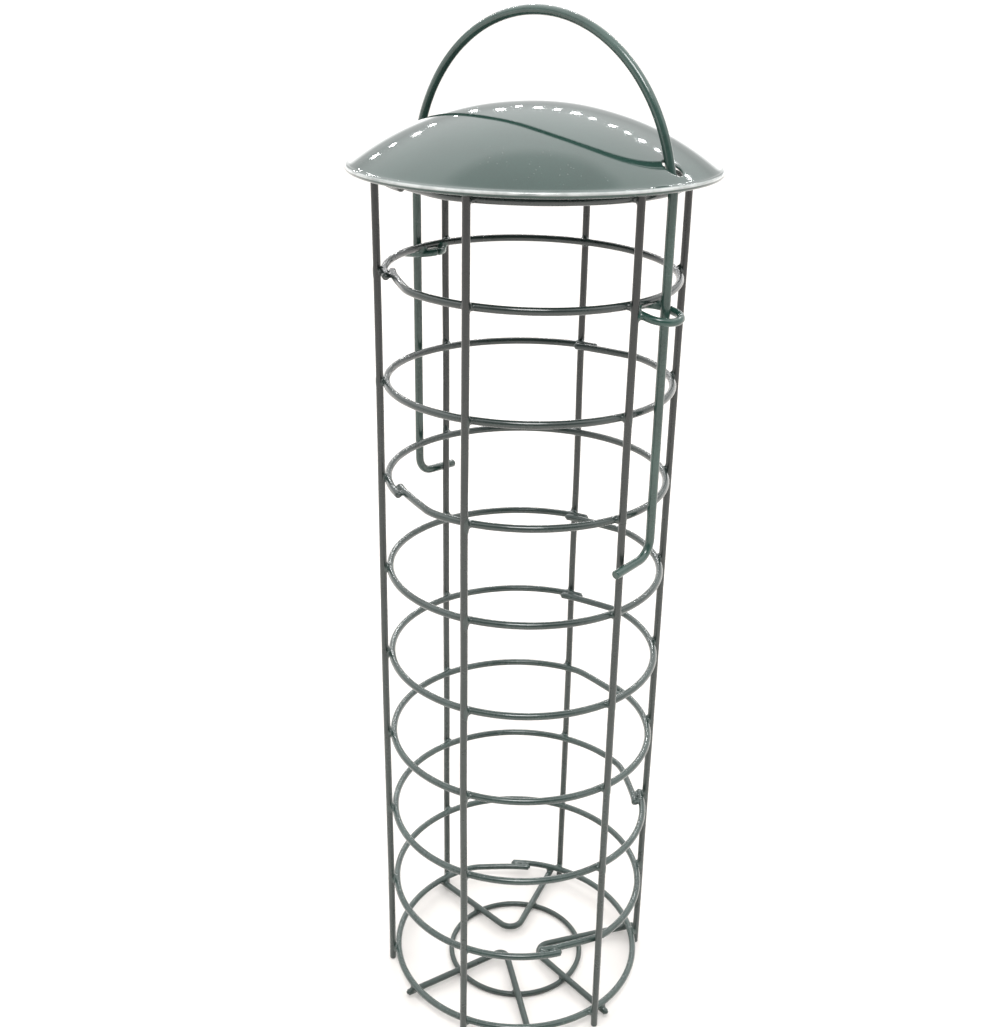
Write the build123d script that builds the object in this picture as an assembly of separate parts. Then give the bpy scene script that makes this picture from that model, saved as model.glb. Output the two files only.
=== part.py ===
"""Hanging bird feeder: a welded wire cage with a domed sheet lid and a sliding wire handle.

Units are millimetres. The origin is on the cage's axis, on the plane that it stands on.
+Z is up, and one upright stands on +X. Angles are in degrees, anticlockwise from +X.
"""
from build123d import *
from math import acos, atan2, cos, degrees, radians, sin, sqrt, tan
import os

# Wire sizes
CAGE_WIRE = 2.2
BASE_RING_WIRE = 1.8
HANDLE_WIRE = 2.6
WELD = 0.1  # how far two welded wires sink into each other

# Cage
HOOP_RADIUS = 42.0
HOOP_PITCH = 30.0
TOP_HOOP_PITCH = 28.0
LOWER_HOOPS = 9
UPRIGHTS = {
    "upright_right": 0,
    "upright_back_right": 60,
    "upright_back_left": 120,
    "upright_left": 180,
    "upright_front_left": 240,
    "upright_front_right": 300,
}
# From the top hoop down: where its two ends lap, and which way it runs from its inner end
HOOP_LAPS = [
    (203, 1), (184, 1), (56, -1), (196, 1), (57, -1),
    (58, -1), (27, 1), (357, 1), (278, 1), (80, 1),
]
LAP_ANGLE = 9.0
LAP_GAP = 0.2
LAP_STEP = CAGE_WIRE + LAP_GAP  # between the two wires' centrelines, side by side
LAP_BLEND_ANGLE = 26.0
LAP_BLEND_RADIUS = 15.0
# The second hoop is welded on a little crooked, and its guide eyes with it
CROOKED_LIFT = 1.9
CROOKED_TILT = 2.0
CROOKED_HIGH_ANGLE = 100  # where it is highest

# Base: three V-shaped spokes under the bottom hoop, and a small ring under them
# For each V: the angles of its two ends, its sharp corner's radius and angle, its bend radius
SPOKES = {
    "base_spoke_back": (64, 124, 4.8, 88, 4.5),
    "base_spoke_right": (-53.5, 6.5, 5.7, -30, 4.5),
    "base_spoke_left": (-152.5, -90.5, 5.2, -142, 2.5),
}
SPOKE_OVERHANG = 1.5  # past the bottom hoop's outside
BASE_RING_RADIUS = 23.0
BUTT_GAP = 0.4  # between the ends of a wire bent into a full circle or an eye

# Lid: a spherical cap with a curled edge
LID_RADIUS = 52.2
LID_RISE = 17.0
LID_SHEET = 0.8
LID_EDGE_BEAD = 1.8
LID_EDGE_ABOVE_TOP_HOOP = 3.0
LID_HOLE = 5.4
LID_HOLE_RADIUS = 45.9
LID_GAP = 0.3  # between the uprights' ends and the lid

# Handle: one wire, the same after half a turn about the axis
HANDLE_ANGLE = -48.5
HANDLE_HALF_SPAN = 46.6
HANDLE_TOP = 71.0  # arch's centreline above the second hoop
HANDLE_LEAN = 16.0  # how far the arch leans in where it leaves the lid
HANDLE_BEND = 5.5
HOOK_DROP = 72.2  # hook below the second hoop
HOOK_LENGTH = 15.8
HOOK_SLOPE = 4.0
ARCH_FOOT = 0.8  # the start of the lean, below the lid's edge

# Guide eyes: bent wire under the second hoop, one round each leg of the handle
EYE_ANGLE = -50.5
EYE_WIDTH = 10.4
EYE_LENGTH = 12.6
EYE_RADIUS = 45.6  # from the axis to the eye's middle
EYE_DROOP = 8.0

# Heights, worked out from the base up
BASE_RING_Z = BASE_RING_WIRE / 2
SPOKE_Z = BASE_RING_Z + (BASE_RING_WIRE + CAGE_WIRE) / 2 - WELD
BOTTOM_HOOP_Z = SPOKE_Z + CAGE_WIRE - WELD
SECOND_HOOP_Z = BOTTOM_HOOP_Z + (LOWER_HOOPS - 1) * HOOP_PITCH  # if it were level
TOP_HOOP_Z = SECOND_HOOP_Z + TOP_HOOP_PITCH
EYE_Z = SECOND_HOOP_Z - CAGE_WIRE + WELD
LID_EDGE_Z = TOP_HOOP_Z + LID_EDGE_ABOVE_TOP_HOOP

UPRIGHT_RADIUS = HOOP_RADIUS + CAGE_WIRE - WELD
LID_EDGE_RADIUS = LID_RADIUS - LID_EDGE_BEAD / 2
DOME_RADIUS = (LID_EDGE_RADIUS**2 + LID_RISE**2) / (2 * LID_RISE)
DOME_CENTRE_Z = LID_EDGE_Z + LID_RISE - DOME_RADIUS


def polar(radius, angle, z=0.0):
    return (radius * cos(radians(angle)), radius * sin(radians(angle)), z)


def dome_height(radius, offset):
    """Height of the lid's surface, offset outwards from the middle of the sheet."""
    return DOME_CENTRE_Z + sqrt((DOME_RADIUS + offset) ** 2 - radius**2)


def bent_wire(edges, diameter):
    path = Wire(edges)
    section = Plane(origin=path @ 0, z_dir=path % 0) * Circle(diameter / 2)
    return sweep(section, path=path)


def arc_between(centre, radius, start_angle, end_angle):
    return CenterArc(centre, radius, start_angle, end_angle - start_angle)


def hoop(z, lap_angle):
    """One hoop: its inner end steps out to the full radius, so its outer end laps past it.

    It runs anticlockwise from its inner end.
    """
    inner_radius = HOOP_RADIUS - LAP_STEP
    inner_start = lap_angle - LAP_ANGLE / 2
    blend_start = lap_angle + LAP_ANGLE / 2
    blend_end = blend_start + LAP_BLEND_ANGLE
    # The blend is a wide arc and a tight arc, tangent to each other and to both circles
    tight_offset = HOOP_RADIUS - LAP_BLEND_RADIUS
    inner_offset = inner_radius - LAP_BLEND_RADIUS
    wide_offset = (tight_offset**2 - inner_offset**2) / (
        2 * (inner_offset - tight_offset * cos(radians(LAP_BLEND_ANGLE)))
    )
    tight_centre = polar(tight_offset, blend_end)
    wide_centre = polar(-wide_offset, blend_start)
    turn = degrees(atan2(tight_centre[1] - wide_centre[1], tight_centre[0] - wide_centre[0]))
    join_angle = blend_start + (turn - blend_start) % 360
    wide_radius = wide_offset + inner_radius
    arcs = [
        arc_between((0, 0), inner_radius, inner_start, blend_start),
        arc_between(wide_centre[:2], wide_radius, blend_start, join_angle),
        arc_between(tight_centre[:2], LAP_BLEND_RADIUS, join_angle, blend_end),
        arc_between((0, 0), HOOP_RADIUS, blend_end, blend_start + 360),
    ]
    return Pos(0, 0, z) * bent_wire(arcs, CAGE_WIRE)


def upright(angle):
    top = dome_height(UPRIGHT_RADIUS + CAGE_WIRE / 2, -LID_SHEET / 2) - LID_GAP
    return Pos(*polar(UPRIGHT_RADIUS, angle)) * extrude(Circle(CAGE_WIRE / 2), top)


def spoke(first_angle, last_angle, corner_radius, corner_angle, bend):
    """One V of the base, its corner near the axis and its ends past the bottom hoop."""
    reach = HOOP_RADIUS + CAGE_WIRE / 2 + SPOKE_OVERHANG
    path = FilletPolyline(
        polar(reach, first_angle, SPOKE_Z),
        polar(corner_radius, corner_angle, SPOKE_Z),
        polar(reach, last_angle, SPOKE_Z),
        radius=bend,
    )
    return bent_wire(path.edges(), CAGE_WIRE)


def base_ring():
    gap_angle = degrees(BUTT_GAP / BASE_RING_RADIUS)
    start = 90 + gap_angle / 2
    arc = arc_between((0, 0), BASE_RING_RADIUS, start, start + 360 - gap_angle)
    return Pos(0, 0, BASE_RING_Z) * bent_wire([arc], BASE_RING_WIRE)


def crooked(shape):
    """A shape drawn for a level second hoop, moved to where that hoop is welded."""
    axis_angle = CROOKED_HIGH_ANGLE - 90
    tilt = Rot(0, 0, axis_angle) * Rot(CROOKED_TILT, 0, 0) * Rot(0, 0, -axis_angle)
    return Pos(0, 0, SECOND_HOOP_Z + CROOKED_LIFT) * tilt * Pos(0, 0, -SECOND_HOOP_Z) * shape


def guide_eye(angle):
    """A long eye drawn along +X, its ends meeting at -X, then tipped down where it is welded."""
    half_width = EYE_WIDTH / 2
    straight = (EYE_LENGTH - EYE_WIDTH) / 2
    gap = degrees(BUTT_GAP / half_width) / 2
    edges = [
        arc_between((-straight, 0), half_width, 180 + gap, 270),
        Line((-straight, -half_width), (straight, -half_width)),
        arc_between((straight, 0), half_width, 270, 450),
        Line((straight, half_width), (-straight, half_width)),
        arc_between((-straight, 0), half_width, 90, 180 - gap),
    ]
    eye = Pos(EYE_RADIUS - HOOP_RADIUS, 0) * bent_wire(edges, CAGE_WIRE)
    return Rot(0, 0, angle) * Pos(HOOP_RADIUS, 0, EYE_Z) * Rot(0, EYE_DROOP, 0) * eye


def lid():
    edge_angle = degrees(acos(LID_EDGE_RADIUS / DOME_RADIUS))
    surfaces = []
    for offset in (LID_SHEET / 2, -LID_SHEET / 2):
        surfaces.append(arc_between((0, DOME_CENTRE_Z), DOME_RADIUS + offset, edge_angle, 90))
    outer, inner = surfaces
    outline = [outer, Line(outer @ 1, inner @ 1), inner, Line(inner @ 0, outer @ 0)]
    sheet = make_face(outline)
    bead = Pos(LID_EDGE_RADIUS, LID_EDGE_Z) * Circle(LID_EDGE_BEAD / 2)
    dome = revolve(Plane.XZ * (sheet + bead), Axis.Z)
    hole = Cylinder(LID_HOLE / 2, 4 * LID_RISE)
    for angle in (HANDLE_ANGLE, HANDLE_ANGLE + 180):
        dome -= Pos(*polar(LID_HOLE_RADIUS, angle, LID_EDGE_Z)) * hole
    return dome


def handle():
    """Drawn with the arch in the XZ plane, then turned about the axis."""
    lean = radians(HANDLE_LEAN)
    foot_z = LID_EDGE_Z - ARCH_FOOT
    top_z = SECOND_HOOP_Z + HANDLE_TOP
    # The arch's arc is centred on the axis and tangent to the leaning wire
    arch_radius = (HANDLE_HALF_SPAN - (top_z - foot_z) * tan(lean)) / (
        cos(lean) - (1 - sin(lean)) * tan(lean)
    )
    shoulder_x = arch_radius * cos(lean)
    shoulder_z = top_z - arch_radius * (1 - sin(lean))
    hook_z = SECOND_HOOP_Z - HOOK_DROP
    hook_end_z = hook_z - HOOK_LENGTH * tan(radians(HOOK_SLOPE))
    leg = FilletPolyline(
        (HANDLE_HALF_SPAN, -HOOK_LENGTH, hook_end_z),
        (HANDLE_HALF_SPAN, 0, hook_z),
        (HANDLE_HALF_SPAN, 0, foot_z),
        (shoulder_x, 0, shoulder_z),
        radius=HANDLE_BEND,
    )
    arch = ThreePointArc((shoulder_x, 0, shoulder_z), (0, 0, top_z), (-shoulder_x, 0, shoulder_z))
    other_leg = Rot(0, 0, 180) * leg
    path = Wire(leg.edges() + arch.edges() + other_leg.edges())
    return Rot(0, 0, HANDLE_ANGLE) * bent_wire(path.edges(), HANDLE_WIRE)


def build():
    nodes = {"lid": lid(), "handle": handle(), "base_ring": base_ring()}
    nodes["guide_eye_right"] = crooked(guide_eye(EYE_ANGLE))
    nodes["guide_eye_left"] = crooked(guide_eye(EYE_ANGLE + 180))
    for name, angle in UPRIGHTS.items():
        nodes[name] = upright(angle)
    for index, (lap_angle, way) in enumerate(HOOP_LAPS):
        z = TOP_HOOP_Z if index == 0 else SECOND_HOOP_Z - (index - 1) * HOOP_PITCH
        wire = hoop(z, way * lap_angle)
        nodes[f"hoop_{index + 1:02d}"] = wire if way > 0 else mirror(wire, about=Plane.XZ)
    nodes["hoop_02"] = crooked(nodes["hoop_02"])
    for name, angles in SPOKES.items():
        nodes[name] = spoke(*angles)
    return nodes


os.makedirs("parts", exist_ok=True)
for name, shape in build().items():
    export_step(shape, f"parts/{name}.step")
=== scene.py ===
"""Looks for the hanging bird feeder: coated wires, weld fillets, a pressed lid and a light tent.

Lengths are millimetres until make_piece turns them into metres, except in the studio and the
camera, which are in metres. The frame is the CAD's: the axis is Z, the floor is z = 0, and
angles start at +X, in degrees unless radians() has been applied.
"""

import bmesh
import bpy
import numpy as np
from math import acos, atan2, cos, degrees, hypot, pi, radians, sin, sqrt, tan
from mathutils import Matrix, Vector


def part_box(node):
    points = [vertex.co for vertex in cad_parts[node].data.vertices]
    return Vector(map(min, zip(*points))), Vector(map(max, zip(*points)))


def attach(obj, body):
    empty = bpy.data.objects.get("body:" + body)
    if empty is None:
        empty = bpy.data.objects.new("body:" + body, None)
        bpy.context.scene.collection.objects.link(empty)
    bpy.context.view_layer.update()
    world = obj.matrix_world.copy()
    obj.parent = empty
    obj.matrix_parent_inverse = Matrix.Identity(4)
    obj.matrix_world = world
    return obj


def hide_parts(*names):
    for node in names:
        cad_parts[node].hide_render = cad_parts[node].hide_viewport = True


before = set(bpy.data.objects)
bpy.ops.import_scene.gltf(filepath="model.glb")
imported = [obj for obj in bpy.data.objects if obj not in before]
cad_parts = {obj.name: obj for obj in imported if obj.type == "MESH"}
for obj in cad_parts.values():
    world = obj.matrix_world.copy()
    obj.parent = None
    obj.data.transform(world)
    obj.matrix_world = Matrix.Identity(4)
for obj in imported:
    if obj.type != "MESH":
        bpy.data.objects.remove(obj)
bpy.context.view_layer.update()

MM = 0.001


def span(node):
    """A CAD node's box in millimetres."""
    low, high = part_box(node)
    return np.array(low) / MM, np.array(high) / MM


def middle_z(node):
    low, high = span(node)
    return (low[2] + high[2]) / 2


def thickness(node):
    low, high = span(node)
    return high[2] - low[2]


# Sizes read from the frame
CAGE_WIRE = thickness("hoop_03")
BASE_WIRE = thickness("base_ring")
HOOP_Z = {f"hoop_{i:02d}": middle_z(f"hoop_{i:02d}") for i in range(1, 11)}
SPOKE_Z = middle_z("base_spoke_back")
UPRIGHT_RADIUS = span("upright_right")[1][0] - CAGE_WIRE / 2
UPRIGHT_TOP = span("upright_right")[1][2]
LID_RADIUS = span("lid")[1][0]
HANDLE_TOP = span("handle")[1][2]

# The second hoop is welded on crooked, with the eyes under it: how far it is lifted and tilted,
# and where it is highest. HOOP_Z has it as if it were level.
CROOKED_LIFT = 1.9
CROOKED_TILT = 2.0
CROOKED_HIGH_ANGLE = 100
HOOP_Z["hoop_02"] -= CROOKED_LIFT

# Sizes the boxes don't give
WELD = 0.1  # how far welded wires sink into each other
HANDLE_WIRE = 2.6
HOOP_RADIUS = 42.0
BASE_RING_RADIUS = 23.0
UPRIGHTS = {
    "upright_right": 0,
    "upright_back_right": 60,
    "upright_back_left": 120,
    "upright_left": 180,
    "upright_front_left": 240,
    "upright_front_right": 300,
}
# Where each hoop's ends lap and which way it runs from its inner end
HOOP_LAPS = [
    (203, 1), (184, 1), (56, -1), (196, 1), (57, -1),
    (58, -1), (27, 1), (357, 1), (278, 1), (80, 1),
]
LAP_ANGLE = 9.0
LAP_STEP = 2.4
LAP_BLEND_ANGLE = 26.0
LAP_BLEND_RADIUS = 15.0
# For each V: its two ends' angles, its corner's radius and angle, its bend radius
SPOKES = {
    "base_spoke_back": (64, 124, 4.8, 88, 4.5),
    "base_spoke_right": (-53.5, 6.5, 5.7, -30, 4.5),
    "base_spoke_left": (-152.5, -90.5, 5.2, -142, 2.5),
}
SPOKE_OVERHANG = 1.5
BUTT_GAP = 0.4
LID_RISE = 17.0
LID_SHEET = 0.8
LID_BEAD = 1.8
LID_HOLE = 5.4
LID_HOLE_RADIUS = 45.9
HANDLE_ANGLE = -48.5
HANDLE_HALF_SPAN = 46.6
HANDLE_LEAN = 16.0
HANDLE_BEND = 5.5
HOOK_DROP = 72.2
HOOK_LENGTH = 15.8
HOOK_SLOPE = 4.0
ARCH_FOOT = 0.8
EYE_ANGLE = -50.5
# Each eye's angle and the upright it touches
EYE_PLACES = {
    "guide_eye_right": (EYE_ANGLE, "upright_front_right"),
    "guide_eye_left": (EYE_ANGLE + 180, "upright_back_left"),
}
EYE_WIDTH = 10.4
EYE_LENGTH = 12.6
EYE_RADIUS = 45.6
EYE_DROOP = 8.0
EYE_Z = HOOP_Z["hoop_02"] - CAGE_WIRE + WELD

LID_EDGE_Z = middle_z("lid") - thickness("lid") / 2 + LID_BEAD / 2
LID_EDGE_RADIUS = LID_RADIUS - LID_BEAD / 2
DOME_RADIUS = (LID_EDGE_RADIUS**2 + LID_RISE**2) / (2 * LID_RISE)
DOME_CENTRE_Z = LID_EDGE_Z + LID_RISE - DOME_RADIUS

# Spacing of the points along each kind of wire
HOOP_STEP = 1.3
BEND_STEP = 0.8
UPRIGHT_STEP = 2.2
SPOKE_STEP = 1.8
EYE_STEP = 1.0
HANDLE_STEP = 1.6
ARCH_POINTS = 100

# First seed of each kind of wire and weld
SEED = {
    "hoop": 11, "upright": 31, "spoke": 51, "base_ring": 61, "eye": 71, "handle": 81,
    "lap_weld": 900, "base_weld": 300, "butt_weld": 399, "eye_weld": 400, "eye_post_weld": 450,
}


# ---------------------------------------------------------------- meshes

def add_object(name, data):
    made = bpy.data.objects.new(name, data)
    bpy.context.scene.collection.objects.link(made)
    return made


def make_piece(name, points, faces, material, body, node=None):
    """A smooth mesh from millimetre points, riding on a body."""
    mesh = bpy.data.meshes.new(name)
    mesh.from_pydata((np.asarray(points) * MM).tolist(), [], faces)
    mesh.polygons.foreach_set("use_smooth", [True] * len(mesh.polygons))
    mesh.materials.append(material)
    mesh.validate()
    mesh.update()
    piece = add_object(name, mesh)
    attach(piece, body)
    if node:
        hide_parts(node)
    return piece


def turn(points, angle):
    """Points turned about Z by an angle in degrees."""
    c, s = cos(radians(angle)), sin(radians(angle))
    points = np.asarray(points, float)
    return np.column_stack(
        [
            c * points[:, 0] - s * points[:, 1],
            s * points[:, 0] + c * points[:, 1],
            points[:, 2],
        ]
    )


def arc(centre, radius, start, end, step=HOOP_STEP):
    """Points along an arc in the XY plane, at z = 0."""
    count = max(3, int(abs(radians(end - start)) * radius / step) + 1)
    angles = np.radians(np.linspace(start, end, count))
    return np.column_stack(
        [centre[0] + radius * np.cos(angles), centre[1] + radius * np.sin(angles), 0 * angles]
    )


def rounded(corners, radius):
    """A polyline whose inner corners are rounded, as points."""
    corners = [np.asarray(c, float) for c in corners]
    out = [corners[0]]
    for before, corner, after in zip(corners, corners[1:], corners[2:]):
        a = before - corner
        b = after - corner
        a /= np.linalg.norm(a)
        b /= np.linalg.norm(b)
        half = acos(np.clip(a @ b, -1, 1)) / 2
        bisector = (a + b) / np.linalg.norm(a + b)
        centre = corner + bisector * radius / sin(half)
        first = corner + a * radius / tan(half) - centre
        sweep = pi - 2 * half
        side = corner + b * radius / tan(half) - centre
        side = side - first * (side @ first) / radius**2
        side *= radius / np.linalg.norm(side)
        count = max(4, int(sweep * radius / BEND_STEP) + 1)
        for t in np.linspace(0, sweep, count):
            out.append(centre + first * cos(t) + side * sin(t))
    out.append(corners[-1])
    return out


def spaced(points, step):
    """The same line with points no further apart than step."""
    points = [np.asarray(p, float) for p in points]
    out = [points[0]]
    for a, b in zip(points, points[1:]):
        length = np.linalg.norm(b - a)
        if length < 1e-6:
            continue
        count = max(1, int(np.ceil(length / step)))
        out += [a + (b - a) * (k + 1) / count for k in range(count)]
    return np.array(out)


BOW_WAVES = 9


def wander(rng, count, size):
    """A slow seeded wave along a wire, zero at both ends."""
    t = np.linspace(0, 1, count)
    wave = sum(
        rng.normal() * np.sin(pi * k * t) / k for k in range(1, BOW_WAVES + 1)
    )
    return size * wave


# A cut end's section: distance in from the end, and share of the wire's radius there
CUT_END = [(0.0, 0.0), (0.0, 0.45), (0.04, 0.72), (0.15, 0.89), (0.29, 0.97)]
CUT_END_LENGTH = 0.42
# The coating's swelling along a wire: share of the radius, and radians of its wave per point
SWELL = 0.006
SWELL_TURN = 0.55


def tube(path, diameter, sides, seed, bow):
    """Points and faces of a wire along a path, its cut ends rounded over by the coating."""
    rng = np.random.default_rng(seed)
    path = np.asarray(path, float)
    radius = diameter / 2
    tangents = np.gradient(path, axis=0)
    tangents /= np.linalg.norm(tangents, axis=1)[:, None]
    start = np.array([0, 0, 1.0])
    if abs(tangents[0] @ start) > 0.9:
        start = np.array([1.0, 0, 0])
    normal = start - tangents[0] * (start @ tangents[0])
    normal /= np.linalg.norm(normal)
    normals = [normal]
    for t in tangents[1:]:
        normal = normal - t * (normal @ t)
        normal /= np.linalg.norm(normal)
        normals.append(normal)
    normals = np.array(normals)
    binormals = np.cross(tangents, normals)
    if bow:
        path = (
            path
            + normals * wander(rng, len(path), bow)[:, None]
            + binormals * wander(rng, len(path), bow)[:, None]
        )
    swell = 1 + SWELL * np.sin(np.arange(len(path)) * SWELL_TURN + rng.uniform(0, 6))

    # Each ring: its middle, its two directions and its radius
    rings = []
    for inset, share in CUT_END:
        rings.append((path[0] + tangents[0] * inset, normals[0], binormals[0], radius * share))
    for p, n, b, s in zip(path, normals, binormals, swell):
        rings.append([p, n, b, radius * s])
    first, last = len(CUT_END), len(rings) - 1
    rings[first][0] = rings[first][0] + tangents[0] * CUT_END_LENGTH
    rings[last][0] = rings[last][0] - tangents[-1] * CUT_END_LENGTH
    for inset, share in reversed(CUT_END):
        rings.append(
            (path[-1] - tangents[-1] * inset, normals[-1], binormals[-1], radius * share)
        )

    angles = np.linspace(0, 2 * pi, sides, endpoint=False)
    points = [rings[0][0]]
    for p, n, b, r in rings[1:-1]:
        points += [p + r * (cos(a) * n + sin(a) * b) for a in angles]
    points.append(rings[-1][0])
    faces = [(0, 1 + (k + 1) % sides, 1 + k) for k in range(sides)]
    ring_count = len(rings) - 2
    for i in range(ring_count - 1):
        low, high = 1 + i * sides, 1 + (i + 1) * sides
        for k in range(sides):
            j = (k + 1) % sides
            faces.append((low + k, low + j, high + j, high + k))
    tip, low = len(points) - 1, 1 + (ring_count - 1) * sides
    faces += [(tip, low + k, low + (k + 1) % sides) for k in range(sides)]
    return np.array(points), faces


# ---------------------------------------------------------------- wire paths

def crooked(path):
    """A path drawn for a level second hoop, moved to where that hoop is welded."""
    level = HOOP_Z["hoop_02"]
    x, y, z = turn(path, 90 - CROOKED_HIGH_ANGLE).T
    tilt = radians(CROOKED_TILT)
    z = z - level
    tipped = np.column_stack(
        [x, y * cos(tilt) - z * sin(tilt), y * sin(tilt) + z * cos(tilt) + level + CROOKED_LIFT]
    )
    return turn(tipped, CROOKED_HIGH_ANGLE - 90)


def hoop_path(z, lap, way):
    """The hoop's centreline, from its inner end round to its outer end.

    From the inner end it swings out in two tangent arcs, a wide one and a tight one.
    """
    lap = way * lap
    inner = HOOP_RADIUS - LAP_STEP
    blend_start = lap + LAP_ANGLE / 2
    blend_end = blend_start + LAP_BLEND_ANGLE
    tight = HOOP_RADIUS - LAP_BLEND_RADIUS
    inside = inner - LAP_BLEND_RADIUS
    wide = (tight**2 - inside**2) / (2 * (inside - tight * cos(radians(LAP_BLEND_ANGLE))))
    tight_at = (tight * cos(radians(blend_end)), tight * sin(radians(blend_end)))
    wide_at = (-wide * cos(radians(blend_start)), -wide * sin(radians(blend_start)))
    towards = degrees(atan2(tight_at[1] - wide_at[1], tight_at[0] - wide_at[0]))
    join = blend_start + (towards - blend_start) % 360
    parts = [
        arc((0, 0), inner, lap - LAP_ANGLE / 2, blend_start),
        arc(wide_at, wide + inner, blend_start, join)[1:],
        arc(tight_at, LAP_BLEND_RADIUS, join, blend_end)[1:],
        arc((0, 0), HOOP_RADIUS, blend_end, blend_start + 360)[1:],
    ]
    return np.vstack(parts) * [1, way, 1] + [0, 0, z]


def spoke_path(first, last, corner_radius, corner_angle, bend):
    """A V from its first end, in to its corner and out to its last end."""
    reach = HOOP_RADIUS + CAGE_WIRE / 2 + SPOKE_OVERHANG

    def at(radius, angle):
        return (radius * cos(radians(angle)), radius * sin(radians(angle)), SPOKE_Z)

    corners = [at(reach, first), at(corner_radius, corner_angle), at(reach, last)]
    return spaced(rounded(corners, bend), SPOKE_STEP)


def eye_path(angle):
    """A long loop lying across the hoop, drooping outwards, its ends butted inside the cage."""
    half = EYE_WIDTH / 2
    straight = (EYE_LENGTH - EYE_WIDTH) / 2
    gap = degrees(BUTT_GAP / half) / 2
    parts = [
        arc((-straight, 0), half, 180 + gap, 270, BEND_STEP),
        arc((straight, 0), half, 270, 450, BEND_STEP),
        arc((-straight, 0), half, 90, 180 - gap, BEND_STEP),
    ]
    loop = spaced(np.vstack(parts), EYE_STEP) + [EYE_RADIUS - HOOP_RADIUS, 0, 0]
    x, y = loop[:, :2].T
    droop = radians(EYE_DROOP)
    path = np.column_stack([HOOP_RADIUS + x * cos(droop), y, EYE_Z - x * sin(droop)])
    return turn(path, angle)


def handle_path():
    """From one hook up its leg, over the arch and down to the other hook."""
    lean = radians(HANDLE_LEAN)
    foot_z = LID_EDGE_Z - ARCH_FOOT
    top_z = HANDLE_TOP - HANDLE_WIRE / 2
    radius = (HANDLE_HALF_SPAN - (top_z - foot_z) * tan(lean)) / (
        cos(lean) - (1 - sin(lean)) * tan(lean)
    )
    shoulder = (radius * cos(lean), 0, top_z - radius * (1 - sin(lean)))
    hook_z = HOOP_Z["hoop_02"] - HOOK_DROP
    hook_end_z = hook_z - HOOK_LENGTH * tan(radians(HOOK_SLOPE))
    leg = rounded(
        [
            (HANDLE_HALF_SPAN, -HOOK_LENGTH, hook_end_z),
            (HANDLE_HALF_SPAN, 0, hook_z),
            (HANDLE_HALF_SPAN, 0, foot_z),
            shoulder,
        ],
        HANDLE_BEND,
    )
    arch = [
        (radius * cos(a), 0, top_z - radius + radius * sin(a))
        for a in np.linspace(lean, pi - lean, ARCH_POINTS)
    ]
    other = [(-x, -y, z) for x, y, z in reversed([tuple(p) for p in leg])]
    return turn(spaced(leg + arch[1:-1] + other, HANDLE_STEP), HANDLE_ANGLE)


def height_near(path, x, y):
    """A wire's height at its nearest place to x, y."""
    return path[np.argmin(np.hypot(path[:, 0] - x, path[:, 1] - y)), 2]


def crossings(path, radius):
    """Where a wire crosses a circle round the axis: the point before, and the share of its step."""
    distance = np.hypot(path[:, 0], path[:, 1])
    before = np.nonzero((distance[:-1] - radius) * (distance[1:] - radius) < 0)[0]
    return [(k, (radius - distance[k]) / (distance[k + 1] - distance[k])) for k in before]


# ---------------------------------------------------------------- weld fillets

def sphere_directions():
    ball = bmesh.new()
    bmesh.ops.create_icosphere(ball, subdivisions=4, radius=1.0)
    directions = np.array([v.co for v in ball.verts])
    faces = [tuple(v.index for v in f.verts) for f in ball.faces]
    ball.free()
    return directions, faces


DIRECTIONS, BALL_FACES = sphere_directions()
STRETCH = 7.0  # how far from a weld its wires are looked at
LONGEST_STEP = 3.0  # between points of one stretch: a longer step joins two stretches
WELD_SEARCH = 6.0  # a weld's surface is nearer to its centre than this
WELD_HALVINGS = 22
WELD_FADE = 0.10  # how hard a weld is held in beyond its reach
# Blend is how round a fillet is, and reach how far it runs along the wires
LAP_WELD = {"blend": 1.0, "reach": 1.5}
BUTT_WELD = {"blend": 0.3, "reach": 1.2}


def to_line(origin, along):
    """A function that gives points' distances to a straight line."""
    origin, along = np.asarray(origin, float), np.asarray(along, float)
    along = along / np.linalg.norm(along)

    def distance(p):
        v = p - origin
        return np.linalg.norm(v - np.outer(v @ along, along), axis=1)

    return distance


def to_path(path, near):
    """A function that gives points' distances to the stretch of a path round a point."""
    path = np.asarray(path, float)
    close = path[np.linalg.norm(path - near, axis=1) < STRETCH]
    starts, steps = close[:-1], close[1:] - close[:-1]
    lengths = (steps**2).sum(1)
    keep = lengths < LONGEST_STEP**2
    starts, steps, lengths = starts[keep], steps[keep], lengths[keep]

    def distance(p):
        v = p[:, None, :] - starts[None]
        t = np.clip((v * steps).sum(2) / lengths, 0, 1)
        return np.linalg.norm(v - t[..., None] * steps, axis=2).min(1)

    return distance


def weld(centre, first, second, radii, seed, blend=1.5, reach=2.3):
    """A fillet round the place where two wires touch.

    first and second give distances to the wires' centrelines, and radii are the wires' own.
    """
    rng = np.random.default_rng(seed)
    centre = np.asarray(centre, float)
    tilt = rng.normal(size=3) * 0.05
    ripples = DIRECTIONS @ rng.normal(size=(3, 4)) * 3 + rng.uniform(0, 6, 4)
    waves = 1 + 0.05 * np.sin(ripples).sum(1)

    def field(length):
        p = centre + DIRECTIONS * length[:, None]
        a, b = first(p) - radii[0], second(p) - radii[1]
        h = np.clip(blend * waves - np.abs(a - b), 0, None) / blend
        joined = np.minimum(a, b) - h * h * blend / 4
        return joined + WELD_FADE * (length * (1 + DIRECTIONS @ tilt) / reach) ** 4

    low, high = np.zeros(len(DIRECTIONS)), np.full(len(DIRECTIONS), WELD_SEARCH)
    for _ in range(WELD_HALVINGS):
        half = (low + high) / 2
        inside = field(half) < 0
        low, high = np.where(inside, half, low), np.where(inside, high, half)
    return centre + DIRECTIONS * ((low + high) / 2)[:, None]


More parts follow.
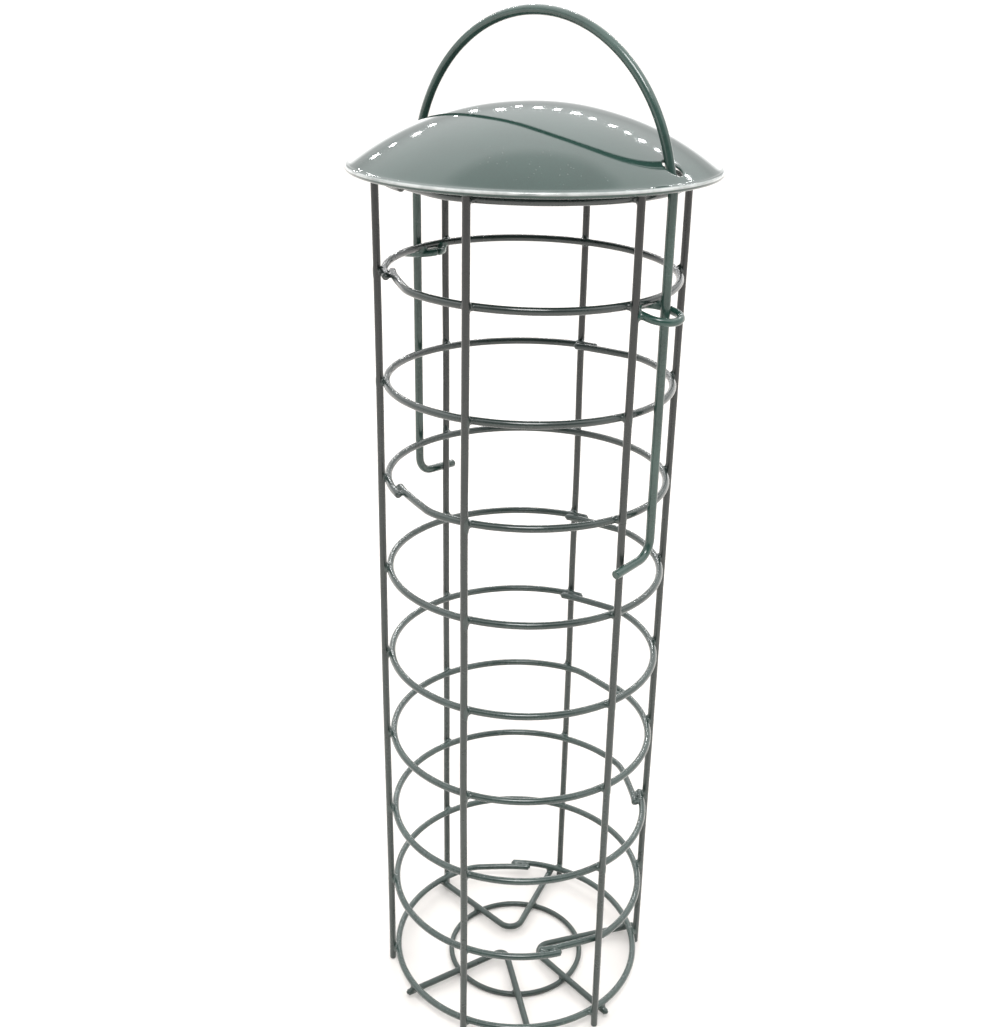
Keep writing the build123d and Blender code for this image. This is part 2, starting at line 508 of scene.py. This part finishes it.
def join_welds(name, blobs, material):
    points = np.vstack(blobs)
    faces = []
    for k in range(len(blobs)):
        base = k * len(DIRECTIONS)
        faces += [tuple(base + i for i in f) for f in BALL_FACES]
    return make_piece(name, points, faces, material, "cage")


# ---------------------------------------------------------------- materials

MIX_A, MIX_B, MIX_RESULT = 6, 7, 2  # a Mix node's colour sockets

# Noise scales, per metre
COAT_PATCHES, COAT_MOTTLE, COAT_SMEARS, COAT_RUNS, COAT_PEEL = 70, 900, 210, 120, 1100
RIM_HIGHLIGHT_PATCHES, WEAR_SPOTS, DUST_GRAINS, DUST_PATCHES = 160, 330, 620.0, 55
# Depths of the coating's runs and of its orange peel, in metres
RUN_DEPTH, PEEL_DEPTH = 0.00025, 0.00005

DUST = (0.42, 0.43, 0.41)
DUST_ROUGHNESS = (0.75, 0.75, 0.75)
WORN_METAL = (0.20, 0.21, 0.20)
RIM_HIGHLIGHT_BAND = (-0.15, 0.85)  # the rim's painted highlight, a pale band; heights from the curled edge's middle


def add_node(tree, kind, settings=(), **values):
    made = tree.nodes.new(kind)
    for name, value in dict(settings).items():
        setattr(made, name, value)
    for name, value in values.items():
        made.inputs[name.replace("_", " ")].default_value = value
    return made


def ramp(tree, source, stops):
    made = tree.nodes.new("ShaderNodeValToRGB")
    elements = made.color_ramp.elements
    elements[0].position, elements[0].color = stops[0][0], (*stops[0][1], 1)
    elements[1].position, elements[1].color = stops[-1][0], (*stops[-1][1], 1)
    for position, colour in stops[1:-1]:
        elements.new(position).color = (*colour, 1)
    tree.links.new(source, made.inputs["Fac"])
    return made.outputs["Color"]


def grey(*pairs):
    return [(position, (value, value, value)) for position, value in pairs]


def mix(tree, factor, a, b):
    """From a to b by factor. Each of a and b is a socket or a colour."""
    made = tree.nodes.new("ShaderNodeMix")
    made.data_type = "RGBA"
    tree.links.new(factor, made.inputs["Factor"])
    for value, socket in ((a, made.inputs[MIX_A]), (b, made.inputs[MIX_B])):
        if isinstance(value, tuple):
            socket.default_value = (*value, 1)
        else:
            tree.links.new(value, socket)
    return made.outputs[MIX_RESULT]


def product(tree, a, b):
    made = add_node(tree, "ShaderNodeMath", {"operation": "MULTIPLY"})
    tree.links.new(a, made.inputs[0])
    tree.links.new(b, made.inputs[1])
    return made.outputs[0]


def painted(name, deep, light, rough, peel, coat, speck=0.0, chips=0.0, shade_aloft=None, rim_highlight=None):
    """A coated metal.

    deep and light are the coating's two tones, rough its range of roughness, peel the strength
    of its unevenness, coat its gloss, speck its dust and chips its worn spots. shade_aloft is
    painted shade: the darker tone it fades to up the cage, where less light falls on the wires.
    rim_highlight is a painted highlight: a paler tone along the lid's curled edge, standing in for
    light glinting on it.
    """
    material = bpy.data.materials.new(name)
    material.use_nodes = True
    tree = material.node_tree
    shader = tree.nodes["Principled BSDF"]
    place = tree.nodes.new("ShaderNodeTexCoord").outputs["Object"]

    def noise(scale, detail, roughness=0.55):
        made = add_node(
            tree, "ShaderNodeTexNoise", Scale=scale, Detail=detail, Roughness=roughness
        )
        tree.links.new(place, made.inputs["Vector"])
        return made.outputs["Fac"]

    # Thick and thin places in the coating, then a finer mottle
    tone = ramp(tree, noise(COAT_PATCHES, 3), [(0.34, deep), (0.68, light)])
    mottle = ramp(tree, noise(COAT_MOTTLE, 2), grey((0.35, 0.0), (0.75, 0.35)))
    colour = mix(tree, mottle, tone, tuple(1.25 * c for c in light))
    apart = tree.nodes.new("ShaderNodeSeparateXYZ")
    tree.links.new(place, apart.inputs[0])
    height = apart.outputs["Z"]
    if shade_aloft:
        # Painted shade: darker up the cage, where less light falls on the wires. Heights in metres:
        # from a quarter of the way up the cage to near its top
        shade_up_the_cage = ramp(tree, height, grey((0.08, 0.0), (0.25, 0.9)))
        colour = mix(tree, shade_up_the_cage, colour, shade_aloft)
    if rim_highlight:
        # Painted highlight: a pale, patchy band along the lid's curled edge, standing in for light
        # glinting on it
        highlight_band = add_node(
            tree,
            "ShaderNodeMapRange",
            From_Min=(LID_EDGE_Z + RIM_HIGHLIGHT_BAND[0]) * MM,
            From_Max=(LID_EDGE_Z + RIM_HIGHLIGHT_BAND[1]) * MM,
        )
        tree.links.new(height, highlight_band.inputs["Value"])
        across = grey((0.0, 0.0), (0.3, 1.0), (0.75, 1.0), (1.0, 0.0))
        edge = ramp(tree, highlight_band.outputs["Result"], across)
        patchy_highlight = ramp(tree, noise(RIM_HIGHLIGHT_PATCHES, 3), grey((0.36, 0.55), (0.6, 1.0)))
        colour = mix(tree, product(tree, edge, patchy_highlight), colour, rim_highlight)
    smear = noise(COAT_SMEARS, 4, 0.62)
    roughness = ramp(tree, smear, grey((0.3, rough[0]), (0.72, rough[1])))
    if speck:
        # Dust: small separate grains, only where a broad noise lets them settle
        cells = add_node(tree, "ShaderNodeTexVoronoi", Scale=DUST_GRAINS)
        tree.links.new(place, cells.inputs["Vector"])
        grain = ramp(tree, cells.outputs["Distance"], grey((0.07, 1.0), (0.12, 0.0)))
        where = ramp(tree, noise(DUST_PATCHES, 2), grey((0.56, 0.0), (0.66, speck)))
        dust = product(tree, grain, where)
        colour = mix(tree, dust, colour, DUST)
        roughness = mix(tree, dust, roughness, DUST_ROUGHNESS)
    if chips:
        # Worn spots, where the metal greys through
        worn = ramp(tree, noise(WEAR_SPOTS, 5, 0.7), grey((0.70, 0.0), (0.74, chips)))
        colour = mix(tree, worn, colour, WORN_METAL)
    tree.links.new(colour, shader.inputs["Base Color"])
    tree.links.new(roughness, shader.inputs["Roughness"])
    shader.inputs["IOR"].default_value = 1.5
    shader.inputs["Coat Weight"].default_value = coat
    shader.inputs["Coat Roughness"].default_value = 0.08
    runs = add_node(tree, "ShaderNodeBump", Strength=peel, Distance=RUN_DEPTH)
    tree.links.new(noise(COAT_RUNS, 2), runs.inputs["Height"])
    skin = add_node(tree, "ShaderNodeBump", Strength=peel, Distance=PEEL_DEPTH)
    tree.links.new(noise(COAT_PEEL, 3), skin.inputs["Height"])
    tree.links.new(runs.outputs["Normal"], skin.inputs["Normal"])
    tree.links.new(skin.outputs["Normal"], shader.inputs["Normal"])
    return material


# The hoops' and uprights' shade_aloft tones are painted shade, darker towards the top of the cage
HOOPS = painted(
    "hoop_paint",
    deep=(0.022, 0.040, 0.035), light=(0.044, 0.070, 0.062), rough=(0.18, 0.34),
    peel=0.32, coat=0.6, chips=0.5, shade_aloft=(0.016, 0.024, 0.022),
)
POSTS = painted(
    "upright_paint",
    deep=(0.022, 0.033, 0.029), light=(0.040, 0.055, 0.050), rough=(0.22, 0.38),
    peel=0.32, coat=0.45, chips=0.5, shade_aloft=(0.011, 0.012, 0.012),
)
BASE = painted(
    "base_paint",
    deep=(0.016, 0.029, 0.025), light=(0.030, 0.050, 0.043), rough=(0.26, 0.42),
    peel=0.35, coat=0.4, chips=0.6,
)
EYES = painted(
    "eye_paint",
    deep=(0.012, 0.044, 0.034), light=(0.022, 0.068, 0.054), rough=(0.20, 0.34),
    peel=0.35, coat=0.5,
)
BAIL = painted(
    "handle_paint",
    deep=(0.018, 0.044, 0.036), light=(0.034, 0.074, 0.061), rough=(0.18, 0.32),
    peel=0.35, coat=0.55, chips=0.4,
)
# The lid's rim_highlight tone is a painted highlight along its curled edge
ENAMEL = painted(
    "lid_enamel_paint",
    deep=(0.009, 0.034, 0.026), light=(0.013, 0.042, 0.033), rough=(0.04, 0.07),
    peel=0.04, coat=0.5, speck=0.22, rim_highlight=(0.52, 0.54, 0.53),
)


# ---------------------------------------------------------------- cage

WIRE_SIDES, BASE_RING_SIDES, HANDLE_SIDES = 18, 16, 24
UPRIGHT_BOW = 0.16
wires = {}


def make_wire(
    name, path, material, seed,
    diameter=CAGE_WIRE, sides=WIRE_SIDES, bow=0.0, body="cage",
):
    """A node's wire along its path, which is kept for the welds."""
    wires[name] = path
    points, faces = tube(path, diameter, sides, seed, bow)
    make_piece(f"wire_{name}", points, faces, material, body, name)


for index, (name, lap) in enumerate(zip(HOOP_Z, HOOP_LAPS)):
    path = hoop_path(HOOP_Z[name], *lap)
    if name == "hoop_02":
        path = crooked(path)
    make_wire(name, path, HOOPS, SEED["hoop"] + index)
for index, (name, angle) in enumerate(UPRIGHTS.items()):
    line = spaced([(UPRIGHT_RADIUS, 0, 0), (UPRIGHT_RADIUS, 0, UPRIGHT_TOP)], UPRIGHT_STEP)
    make_wire(
        name, turn(line, angle), POSTS, SEED["upright"] + index,
        bow=UPRIGHT_BOW,
    )
for index, (name, shape) in enumerate(SPOKES.items()):
    make_wire(name, spoke_path(*shape), BASE, SEED["spoke"] + index)
gap = degrees(BUTT_GAP / BASE_RING_RADIUS)
ring = arc((0, 0), BASE_RING_RADIUS, 90 + gap / 2, 450 - gap / 2) + [0, 0, BASE_WIRE / 2]
make_wire(
    "base_ring", ring, BASE, SEED["base_ring"], BASE_WIRE, BASE_RING_SIDES
)
for index, (name, (angle, _)) in enumerate(EYE_PLACES.items()):
    make_wire(name, crooked(eye_path(angle)), EYES, SEED["eye"] + index)

# Weld fillets: hoops to uprights, the laps, the base and the eyes
TOUCH_SLACK = 0.3  # a wire further than this from where it would touch isn't welded there
EYE_POST_SLACK = 0.5
LAP_WELD_PLACES = (-0.28, 0.28)  # from the lap's middle, as shares of its angle
half_wire = CAGE_WIRE / 2
radii = (half_wire, half_wire)

for index, (name, (lap, _)) in enumerate(zip(HOOP_Z, HOOP_LAPS)):
    path = wires[name]
    blobs = []
    for k, angle in enumerate(UPRIGHTS.values()):
        c, s = cos(radians(angle)), sin(radians(angle))
        middle = (HOOP_RADIUS + UPRIGHT_RADIUS) / 2
        x, y = middle * c, middle * s
        centre = np.array([x, y, height_near(path, x, y)])
        hoop = to_path(path, centre)
        if hoop(centre[None])[0] > half_wire + TOUCH_SLACK:
            continue
        post = to_line((UPRIGHT_RADIUS * c, UPRIGHT_RADIUS * s, 0), (0, 0, 1))
        blobs.append(weld(centre, hoop, post, radii, 100 * index + k))
    for k, side in enumerate(LAP_WELD_PLACES):
        angle = radians(lap + side * LAP_ANGLE)
        middle = HOOP_RADIUS - LAP_STEP / 2
        x, y = middle * cos(angle), middle * sin(angle)
        centre = np.array([x, y, height_near(path, x, y)])
        half_count = len(path) // 2
        inner, outer = to_path(path[:half_count], centre), to_path(path[half_count:], centre)
        seed = SEED["lap_weld"] + 10 * index + k
        blobs.append(weld(centre, inner, outer, radii, seed, **LAP_WELD))
    join_welds(f"weld_{name}", blobs, HOOPS)

# For each ring a spoke crosses: its radius, the weld's height and half its wire
SPOKE_WELDS = {
    "hoop_10": (HOOP_RADIUS, (SPOKE_Z + HOOP_Z["hoop_10"]) / 2, half_wire),
    "base_ring": (BASE_RING_RADIUS, SPOKE_Z - half_wire, BASE_WIRE / 2),
}
blobs = []
for index, name in enumerate(SPOKES):
    path = wires[name]
    for ring, (radius, z, ring_half) in SPOKE_WELDS.items():
        for k, share in crossings(path, radius):
            centre = path[k] + share * (path[k + 1] - path[k])
            centre[2] = z
            near_ring = to_path(wires[ring], centre)
            if near_ring(centre[None])[0] > ring_half + TOUCH_SLACK:
                continue
            seed = SEED["base_weld"] + 10 * index + int(k)
            blobs.append(
                weld(centre, to_path(path, centre), near_ring, (half_wire, ring_half), seed)
            )
# The base ring's own joint, butt welded
centre = np.array([0, BASE_RING_RADIUS, BASE_WIRE / 2])
ring = to_path(wires["base_ring"], centre)
ring_radii = (BASE_WIRE / 2, BASE_WIRE / 2)
blobs.append(weld(centre, ring, ring, ring_radii, SEED["butt_weld"], **BUTT_WELD))
join_welds("weld_base", blobs, BASE)

blobs = []
for index, (name, (_, upright)) in enumerate(EYE_PLACES.items()):
    path = wires[name]
    for k, _ in crossings(path, HOOP_RADIUS):
        centre = path[k].copy()
        centre[2] += half_wire
        hoop = to_path(wires["hoop_02"], centre)
        seed = SEED["eye_weld"] + 10 * index + int(k)
        blobs.append(weld(centre, to_path(path, centre), hoop, radii, seed))
    angle = radians(UPRIGHTS[upright])
    foot = np.array([UPRIGHT_RADIUS * cos(angle), UPRIGHT_RADIUS * sin(angle), 0])
    foot[2] = height_near(path, foot[0], foot[1])
    nearest = path[np.argmin(np.linalg.norm(path - foot, axis=1))]
    if np.linalg.norm(nearest - foot) < CAGE_WIRE + EYE_POST_SLACK:
        post = to_line(foot, (0, 0, 1))
        seed = SEED["eye_post_weld"] + index
        blobs.append(weld((nearest + foot) / 2, to_path(path, nearest), post, radii, seed))
join_welds("weld_eyes", blobs, EYES)


# ---------------------------------------------------------------- handle

make_wire(
    "handle", handle_path(), BAIL, SEED["handle"],
    HANDLE_WIRE, HANDLE_SIDES, body="handle",
)


# ---------------------------------------------------------------- lid

LID_SEGMENTS, LID_RINGS = 180, 38
LID_HEM = 1.9  # along the sheet, from its last ring to the middle of the curled edge
HOLE_MARGIN = 2.4  # from a hole to the inner side of the patch round it
PATCH_SPREAD = 4  # segments that the patch takes at each side of the hole
PATCH_SHARES = (0.3, 0.6, 0.85, 1.0)  # where its loops lie, from its outline to the hole's lip
HOLE_LIP = 0.3
LIP_SECTION = ((0.1, 0.03), (0.22, 0.13), (0.3, 0.3))  # distance into the hole, and drop
# The curled edge's section: the sheet's run into the curl, along the sheet and out from it,
# then the curl itself, whose ends are this many degrees round
CURL_RUN = [(-1.45, 0.405), (-1.1, 0.45), (-0.85, 0.54)]
CURL_END, CURL_STEP = 132, 12
# The sheet's unevenness: heights of its broad and fine waves, and the radius where it is gone
BROAD_WAVE, FINE_WAVE = 0.05, 0.025
WAVE_RADIUS = 46.0


def press_wave(x, y):
    """Slight unevenness left by pressing the sheet."""
    return (
        BROAD_WAVE * sin(0.11 * x + 0.6) * sin(0.09 * y - 0.4)
        + FINE_WAVE * sin(0.21 * x - 0.17 * y)
    )


def sheet_z(x, y, offset):
    """The dome's height, offset out from the sheet's middle."""
    radius = DOME_RADIUS + offset
    fade = max(0.0, 1 - (hypot(x, y) / WAVE_RADIUS) ** 4)
    return DOME_CENTRE_Z + sqrt(radius**2 - x * x - y * y) + fade * press_wave(x, y)


def segment_angle(k):
    """The lid's segments start at the handle's first leg, so a hole is centred on a segment."""
    return radians(HANDLE_ANGLE + 360 * k / LID_SEGMENTS)


def lid_mesh():
    edge = acos(LID_EDGE_RADIUS / DOME_RADIUS)
    along = np.array([sin(edge), -cos(edge)])
    outward = np.array([cos(edge), sin(edge)])
    ring_radii = np.linspace(0, LID_EDGE_RADIUS - LID_HEM * along[0], LID_RINGS + 1)[1:]
    points, faces = [], []

    def add(x, y, z):
        points.append((x, y, z))
        return len(points) - 1

    def quad(a, b, c, d, flip=False):
        faces.append((a, d, c, b) if flip else (a, b, c, d))

    def strip(first, second, flip=False):
        """Faces between two closed loops of points."""
        for k in range(len(first)):
            j = (k + 1) % len(first)
            quad(first[k], second[k], second[j], first[j], flip)

    def hole(base, loop, offset, flip):
        """Faces from a patch's outline in to the hole and down its lip. Returns the last loop."""
        a = radians(HANDLE_ANGLE + base)
        middle = np.array([LID_HOLE_RADIUS * cos(a), LID_HOLE_RADIUS * sin(a)])
        outline = [np.array(points[v][:2]) for v in loop]
        ways = [(p - middle) / np.linalg.norm(p - middle) for p in outline]
        lip = LID_HOLE / 2 + HOLE_LIP
        previous = loop
        for share in PATCH_SHARES:
            row = []
            for p, w in zip(outline, ways):
                x, y = p * (1 - share) + (middle + w * lip) * share
                row.append(add(x, y, sheet_z(x, y, offset)))
            strip(previous, row, flip)
            previous = row
        for inset, drop in LIP_SECTION:
            row = []
            for w in ways:
                x, y = middle + w * (lip - inset)
                z = sheet_z(x, y, offset)
                row.append(add(x, y, z - drop if not flip else z + drop))
            strip(previous, row, flip)
            previous = row
        return previous

    def surface(offset, flip):
        """One side of the sheet. Returns its outer edge and its two hole loops."""
        grid = []
        for radius in ring_radii:
            row = []
            for k in range(LID_SEGMENTS):
                a = segment_angle(k)
                x, y = radius * cos(a), radius * sin(a)
                row.append(add(x, y, sheet_z(x, y, offset)))
            grid.append(row)
        top = add(0, 0, sheet_z(0, 0, offset))

        # The cells round each hole are left out, and a patch joins their outline to the hole
        patch_start = LID_HOLE_RADIUS - LID_HOLE / 2 - HOLE_MARGIN
        inner = next(i for i, r in enumerate(ring_radii) if r > patch_start)
        outer = LID_RINGS - 1
        outlines, open_cells = [], set()
        for base in (0, LID_SEGMENTS // 2):
            for i in range(inner, outer):
                for k in range(-PATCH_SPREAD, PATCH_SPREAD):
                    open_cells.add((i, (base + k) % LID_SEGMENTS))
            last = (base + PATCH_SPREAD) % LID_SEGMENTS
            first = (base - PATCH_SPREAD) % LID_SEGMENTS
            inwards = range(-PATCH_SPREAD, PATCH_SPREAD)
            back = range(PATCH_SPREAD, -PATCH_SPREAD, -1)
            loop = [grid[inner][(base + k) % LID_SEGMENTS] for k in inwards]
            loop += [grid[i][last] for i in range(inner, outer)]
            loop += [grid[outer][(base + k) % LID_SEGMENTS] for k in back]
            loop += [grid[i][first] for i in range(outer, inner, -1)]
            outlines.append(loop)

        for k in range(LID_SEGMENTS):
            j = (k + 1) % LID_SEGMENTS
            faces.append((top, grid[0][j], grid[0][k]) if flip else (top, grid[0][k], grid[0][j]))
            for i in range(outer):
                if (i, k) not in open_cells:
                    quad(grid[i][k], grid[i + 1][k], grid[i + 1][j], grid[i][j], flip)
        hole_loops = [hole(base, loop, offset, flip) for base, loop in zip((0, 180), outlines)]
        return grid[-1], hole_loops

    top_edge, top_holes = surface(LID_SHEET / 2, False)
    under_edge, under_holes = surface(-LID_SHEET / 2, True)
    for upper, lower in zip(top_holes, under_holes):
        strip(upper, lower)

    # The curled edge, from the top of the sheet round to its underside
    bead = LID_BEAD / 2
    round_angles = np.radians(np.arange(CURL_END, -CURL_END - 1, -CURL_STEP))
    curl = [(bead * cos(b), bead * sin(b)) for b in round_angles]
    section = CURL_RUN + curl + [(a, -b) for a, b in reversed(CURL_RUN)]
    centre = np.array([LID_EDGE_RADIUS, LID_EDGE_Z])
    previous = top_edge
    for a, b in section:
        r, z = centre + a * along + b * outward
        angles = [segment_angle(k) for k in range(LID_SEGMENTS)]
        row = [add(r * cos(t), r * sin(t), z) for t in angles]
        strip(previous, row)
        previous = row
    strip(previous, under_edge)
    return points, faces


points, faces = lid_mesh()
make_piece("pressed_lid", points, faces, ENAMEL, "lid", "lid")


# ---------------------------------------------------------------- studio

FLOOR_SIDES, FLOOR_RADIUS = 96, 14.0
CAMERA_SIDE = radians(-97.9)
# The tent's walls by the height of the direction, from level to straight up
WALLS = [
    (0.0, (1.90, 1.89, 1.88)),
    (0.10, (1.70, 1.70, 1.69)),
    (0.18, (0.78, 0.78, 0.78)),
    (0.30, (0.78, 0.78, 0.78)),
    (0.45, (1.30, 1.31, 1.31)),
    (0.65, (1.75, 1.76, 1.76)),
    (0.84, (2.20, 2.21, 2.21)),
    (0.89, (1.70, 1.71, 1.71)),
    (1.0, (1.75, 1.76, 1.76)),
]
OPENING_TONE = (0.16, 0.17, 0.17)
OPENING_ELEVATION = radians(12)
BACKDROP = (1.1, 1.1, 1.1)
LAMP_DISTANCE = 1.1
LAMP_KINDS = ((0.012, 0.30), (0.008, 0.17))  # radius and energy, in turn along the row
# Each lamp's azimuth and elevation
LAMP_ROW = [
    (108, 19), (105, 20), (102, 23), (98, 21), (93, 20), (90.5, 19),
    (87.5, 23), (84.5, 20.5), (81.5, 23), (78.5, 24), (75.5, 25), (72.5, 27),
    (68, 29), (64, 30), (60, 31), (56, 31), (51, 31), (45, 32),
]
BOX_SIZE, BOX_ENERGY, BOX_DISTANCE, BOX_ELEVATION = 0.45, 7.0, 1.2, radians(60)
BOX_AIM = Vector((0, 0, 0.15))


def direction_to(azimuth, elevation):
    return Vector(
        (cos(azimuth) * cos(elevation), sin(azimuth) * cos(elevation), sin(elevation))
    )


def make_floor():
    mesh = bpy.data.meshes.new("floor")
    angles = [2 * pi * k / FLOOR_SIDES for k in range(FLOOR_SIDES)]
    ring = [(FLOOR_RADIUS * cos(a), FLOOR_RADIUS * sin(a), 0) for a in angles]
    mesh.from_pydata(ring, [], [tuple(range(FLOOR_SIDES))])
    floor = add_object("floor", mesh)
    material = bpy.data.materials.new("floor_paper")
    material.use_nodes = True
    tree = material.node_tree
    shader = tree.nodes["Principled BSDF"]
    place = tree.nodes.new("ShaderNodeTexCoord").outputs["Object"]
    grain = add_node(tree, "ShaderNodeTexNoise", Scale=9.0, Detail=3.0)
    tree.links.new(place, grain.inputs["Vector"])
    tones = [(0.3, (0.81, 0.775, 0.748)), (0.7, (0.82, 0.787, 0.762))]
    tree.links.new(ramp(tree, grain.outputs["Fac"], tones), shader.inputs["Base Color"])
    shader.inputs["Roughness"].default_value = 1.0
    shader.inputs["Specular IOR Level"].default_value = 0.0
    mesh.materials.append(material)


def make_world():
    """A white light tent with a dark opening on the camera's side."""
    world = bpy.data.worlds.new("tent")
    bpy.context.scene.world = world
    world.use_nodes = True
    tree = world.node_tree
    background = tree.nodes["Background"]
    direction = tree.nodes.new("ShaderNodeTexCoord").outputs["Generated"]
    apart = add_node(tree, "ShaderNodeSeparateXYZ")
    tree.links.new(direction, apart.inputs[0])
    walls = ramp(tree, apart.outputs["Z"], WALLS)
    facing = add_node(tree, "ShaderNodeVectorMath", {"operation": "DOT_PRODUCT"})
    facing.inputs[1].default_value = direction_to(CAMERA_SIDE, OPENING_ELEVATION)
    tree.links.new(direction, facing.inputs[0])
    opening = ramp(tree, facing.outputs["Value"], grey((0.55, 0.0), (0.80, 1.0)))
    tent = mix(tree, opening, walls, OPENING_TONE)
    # Seen directly, the tent is plain white on every side
    seen = tree.nodes.new("ShaderNodeLightPath").outputs["Is Camera Ray"]
    tree.links.new(mix(tree, seen, tent, BACKDROP), background.inputs["Color"])
    background.inputs["Strength"].default_value = 1.0


def add_light(name, kind, energy, place):
    """A light that the camera doesn't see directly."""
    light = bpy.data.lights.new(name, kind)
    light.energy = energy
    holder = add_object(name, light)
    holder.location = place
    holder.visible_camera = False
    return light, holder


make_floor()
make_world()

# A row of small lamps along the tent's back edge, which the lid mirrors
for index, (azimuth, elevation) in enumerate(LAMP_ROW):
    lamp_radius, energy = LAMP_KINDS[index % 2]
    way = direction_to(radians(azimuth), radians(elevation))
    place = Vector((0, 0, LID_EDGE_Z * MM)) + LAMP_DISTANCE * way
    lamp, _ = add_light(f"lamp_{index:02d}", "POINT", energy, place)
    lamp.shadow_soft_size = lamp_radius
    lamp.use_soft_falloff = False

# A round soft box above the camera's side, mirrored by the hoops and the top of the lid
way = direction_to(CAMERA_SIDE, BOX_ELEVATION)
box, holder = add_light("soft_box", "AREA", BOX_ENERGY, BOX_AIM + BOX_DISTANCE * way)
box.shape = "DISK"
box.size = BOX_SIZE
holder.rotation_euler = way.to_track_quat("Z", "Y").to_euler()

bpy.context.scene.view_settings.view_transform = "Standard"


# ---------------------------------------------------------------- camera

FOCAL_SHARE = 1250 / 1027  # focal length over the picture's long side
SENSOR_WIDTH = 36
# The camera stands on -Y, looks along +Y but for its angles, and is then turned about the axis
CAMERA_PLACE = (0, -0.35484, 0.32311)
CAMERA_PITCH, CAMERA_YAW, CAMERA_ROLL = 0.40399, -0.02074, 0.01629
CAMERA_TURN = -0.13783


def make_camera():
    data = bpy.data.cameras.new("camera")
    data.sensor_width = SENSOR_WIDTH
    data.lens = SENSOR_WIDTH * FOCAL_SHARE
    data.clip_start, data.clip_end = 0.01, 60
    camera = add_object("camera", data)
    bpy.context.scene.camera = camera
    pitch, yaw, roll = CAMERA_PITCH, CAMERA_YAW, CAMERA_ROLL
    forward = Vector((sin(yaw) * cos(pitch), cos(yaw) * cos(pitch), -sin(pitch)))
    level = Vector((cos(yaw), -sin(yaw), 0))
    above = level.cross(forward)
    right = cos(roll) * level + sin(roll) * above
    up = -sin(roll) * level + cos(roll) * above
    standing = Matrix((right, up, -forward)).transposed().to_4x4()
    standing.translation = Vector(CAMERA_PLACE)
    camera.matrix_world = Matrix.Rotation(CAMERA_TURN, 4, "Z") @ standing


make_camera()
